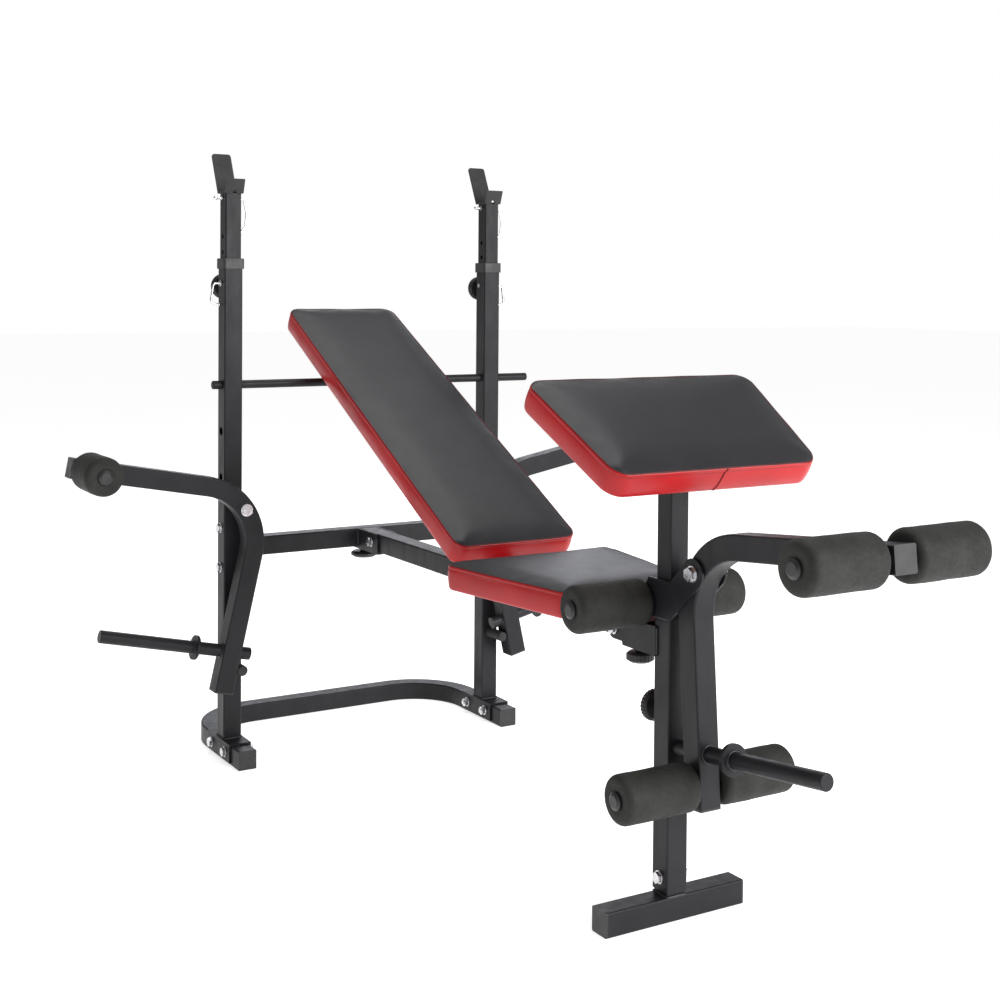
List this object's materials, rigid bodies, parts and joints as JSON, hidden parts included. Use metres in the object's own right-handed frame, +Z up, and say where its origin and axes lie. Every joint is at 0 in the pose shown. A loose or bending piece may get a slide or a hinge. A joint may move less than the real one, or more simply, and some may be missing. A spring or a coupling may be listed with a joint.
{
  "type": "olympic bench press",
  "caption": "Weight bench with telescoping bar uprights, an inclining backrest, a preacher pad, a leg developer with foam rollers and swinging side arms.",
  "frame": {"origin": "centre of the bounding box at floor level", "axes": "+Z up, +Y from the leg developer end towards the rear base, +X towards the longer end of the support bar"},
  "size_m": [1.3548, 1.8778, 1.2857],
  "materials": {
    "frame_paint": "satin powder coat",
    "catch_paint": "satin powder coat",
    "zinc_steel": "bright zinc",
    "chrome": "polished",
    "black_plastic": "moulded, slightly glossy",
    "bumper_rubber": "matte",
    "foam": "matte closed-cell foam",
    "plywood": "raw",
    "black_vinyl": "fine-grained vinyl",
    "red_vinyl": "glossy vinyl"
  },
  "bodies": {
    "frame": {"base_tube": "frame_paint", "base_caps": "black_plastic", "upright_left": "frame_paint", "upright_right": "frame_paint", "upright_collars": "black_plastic", "cross_member": "frame_paint", "frame_bolts": "zinc_steel", "main_beam": "frame_paint", "beam_bolts": "zinc_steel", "backrest_rod": "zinc_steel", "seat_board": "plywood", "seat_pad": "black_vinyl", "arm_bumpers": "bumper_rubber", "arm_bolts": "zinc_steel"},
    "leg": {"leg_tube": "frame_paint", "leg_bracket": "frame_paint", "ear_bracket": "frame_paint", "foot_bar": "frame_paint", "foot_caps": "black_plastic", "leg_bolt": "zinc_steel", "developer_bolt": "zinc_steel", "knee_caps": "black_plastic"},
    "preacher": {"preacher_post": "frame_paint", "preacher_board": "plywood", "preacher_pad": "black_vinyl"},
    "backrest": {"backrest_frame": "frame_paint", "backrest_board": "plywood", "backrest_pad": "black_vinyl"},
    "developer": {"developer_tube": "frame_paint", "developer_post": "frame_paint", "developer_caps": "black_plastic"},
    "support_bar": {"support_bar": "frame_paint"},
    "beam_knob": {"beam_knob": "black_plastic"},
    "fold_knob": {"fold_knob": "black_plastic"},
    "post_knob": {"post_knob": "black_plastic"},
    "post_left": {"inner_post_left": "frame_paint", "bar_catch_left": "catch_paint", "catch_pin_left": "chrome"},
    "lock_pin_left": {"lock_pin_left": "chrome"},
    "clamp_knob_left": {"clamp_knob_left": "black_plastic"},
    "arm_left": {"arm_tube_left": "frame_paint", "arm_post_left": "frame_paint", "arm_caps_left": "black_plastic"},
    "arm_roller_left": {"arm_roller_left": "foam"},
    "knee_roller_left": {"knee_roller_left": "foam"},
    "upper_roller_left": {"upper_roller_left": "foam"},
    "lower_roller_left": {"lower_roller_left": "foam"},
    "post_right": {"inner_post_right": "frame_paint", "bar_catch_right": "catch_paint", "catch_pin_right": "chrome"},
    "lock_pin_right": {"lock_pin_right": "chrome"},
    "clamp_knob_right": {"clamp_knob_right": "black_plastic"},
    "arm_right": {"arm_tube_right": "frame_paint", "arm_post_right": "frame_paint", "arm_caps_right": "black_plastic"},
    "arm_roller_right": {"arm_roller_right": "foam"},
    "knee_roller_right": {"knee_roller_right": "foam"},
    "upper_roller_right": {"upper_roller_right": "foam"},
    "lower_roller_right": {"lower_roller_right": "foam"}
  },
  "joints": [
    {"name": "post_left_slide", "type": "slide", "parent": "frame", "child": "post_left", "axis": [0, 0, 1], "range_m": [0, 0.165]},
    {"name": "post_right_slide", "type": "slide", "parent": "frame", "child": "post_right", "axis": [0, 0, 1], "range_m": [0, 0.165]},
    {"name": "lock_pin_left_slide", "type": "slide", "parent": "frame", "child": "lock_pin_left", "axis": [-1, 0, 0], "range_m": [0, 0.055]},
    {"name": "lock_pin_right_slide", "type": "slide", "parent": "frame", "child": "lock_pin_right", "axis": [1, 0, 0], "range_m": [0, 0.055]},
    {"name": "clamp_knob_left_turn", "type": "hinge", "parent": "frame", "child": "clamp_knob_left", "pos_m": [-0.316, 0.70594, 1.002], "axis": [0, 1, 0], "continuous": true},
    {"name": "clamp_knob_right_turn", "type": "hinge", "parent": "frame", "child": "clamp_knob_right", "pos_m": [0.316, 0.70594, 1.002], "axis": [0, 1, 0], "continuous": true},
    {"name": "support_bar_slide", "type": "slide", "parent": "frame", "child": "support_bar", "axis": [1, 0, 0], "range_m": [0, 0.68]},
    {"name": "beam_knob_turn", "type": "hinge", "parent": "frame", "child": "beam_knob", "pos_m": [0, 0.68594, 0.418], "axis": [0, 0, 1], "continuous": true},
    {"name": "backrest_tilt", "type": "hinge", "parent": "frame", "child": "backrest", "pos_m": [0, 0.07194, 0.484], "axis": [1, 0, 0], "range_deg": [0, 45]},
    {"name": "leg_fold", "type": "hinge", "parent": "frame", "child": "leg", "pos_m": [0, -0.31406, 0.442], "axis": [1, 0, 0], "range_deg": [0, 75]},
    {"name": "fold_knob_turn", "type": "hinge", "parent": "leg", "child": "fold_knob", "pos_m": [0, -0.35406, 0.4], "axis": [0, 0, 1], "continuous": true},
    {"name": "post_knob_turn", "type": "hinge", "parent": "leg", "child": "post_knob", "pos_m": [0, -0.40806, 0.33], "axis": [0, 1, 0], "continuous": true},
    {"name": "preacher_slide", "type": "slide", "parent": "leg", "child": "preacher", "axis": [0, 0, 1], "range_m": [0, 0.15]},
    {"name": "developer_swing", "type": "hinge", "parent": "leg", "child": "developer", "pos_m": [0, -0.51934, 0.56485], "axis": [1, 0, 0], "range_deg": [-32, 0]},
    {"name": "arm_left_swing", "type": "hinge", "parent": "frame", "child": "arm_left", "pos_m": [-0.30998, 0.62394, 0.53651], "axis": [0, 1, 0], "range_deg": [0, 80]},
    {"name": "arm_right_swing", "type": "hinge", "parent": "frame", "child": "arm_right", "pos_m": [0.30998, 0.62394, 0.53651], "axis": [0, 1, 0], "range_deg": [-80, 0]},
    {"name": "arm_roller_left_spin", "type": "hinge", "parent": "arm_left", "child": "arm_roller_left", "pos_m": [-0.63938, 0.54394, 0.63674], "axis": [0, 1, 0], "continuous": true},
    {"name": "knee_roller_left_spin", "type": "hinge", "parent": "leg", "child": "knee_roller_left", "pos_m": [-0.09, -0.39306, 0.5], "axis": [1, 0, 0], "continuous": true},
    {"name": "upper_roller_left_spin", "type": "hinge", "parent": "developer", "child": "upper_roller_left", "pos_m": [-0.09, -0.90095, 0.64824], "axis": [1, 0, 0], "continuous": true},
    {"name": "lower_roller_left_spin", "type": "hinge", "parent": "developer", "child": "lower_roller_left", "pos_m": [-0.09, -0.51845, 0.23759], "axis": [1, 0, 0], "continuous": true},
    {"name": "arm_roller_right_spin", "type": "hinge", "parent": "arm_right", "child": "arm_roller_right", "pos_m": [0.63938, 0.54394, 0.63674], "axis": [0, 1, 0], "continuous": true},
    {"name": "knee_roller_right_spin", "type": "hinge", "parent": "leg", "child": "knee_roller_right", "pos_m": [0.09, -0.39306, 0.5], "axis": [1, 0, 0], "continuous": true},
    {"name": "upper_roller_right_spin", "type": "hinge", "parent": "developer", "child": "upper_roller_right", "pos_m": [0.09, -0.90095, 0.64824], "axis": [1, 0, 0], "continuous": true},
    {"name": "lower_roller_right_spin", "type": "hinge", "parent": "developer", "child": "lower_roller_right", "pos_m": [0.09, -0.51845, 0.23759], "axis": [1, 0, 0], "continuous": true}
  ]
}
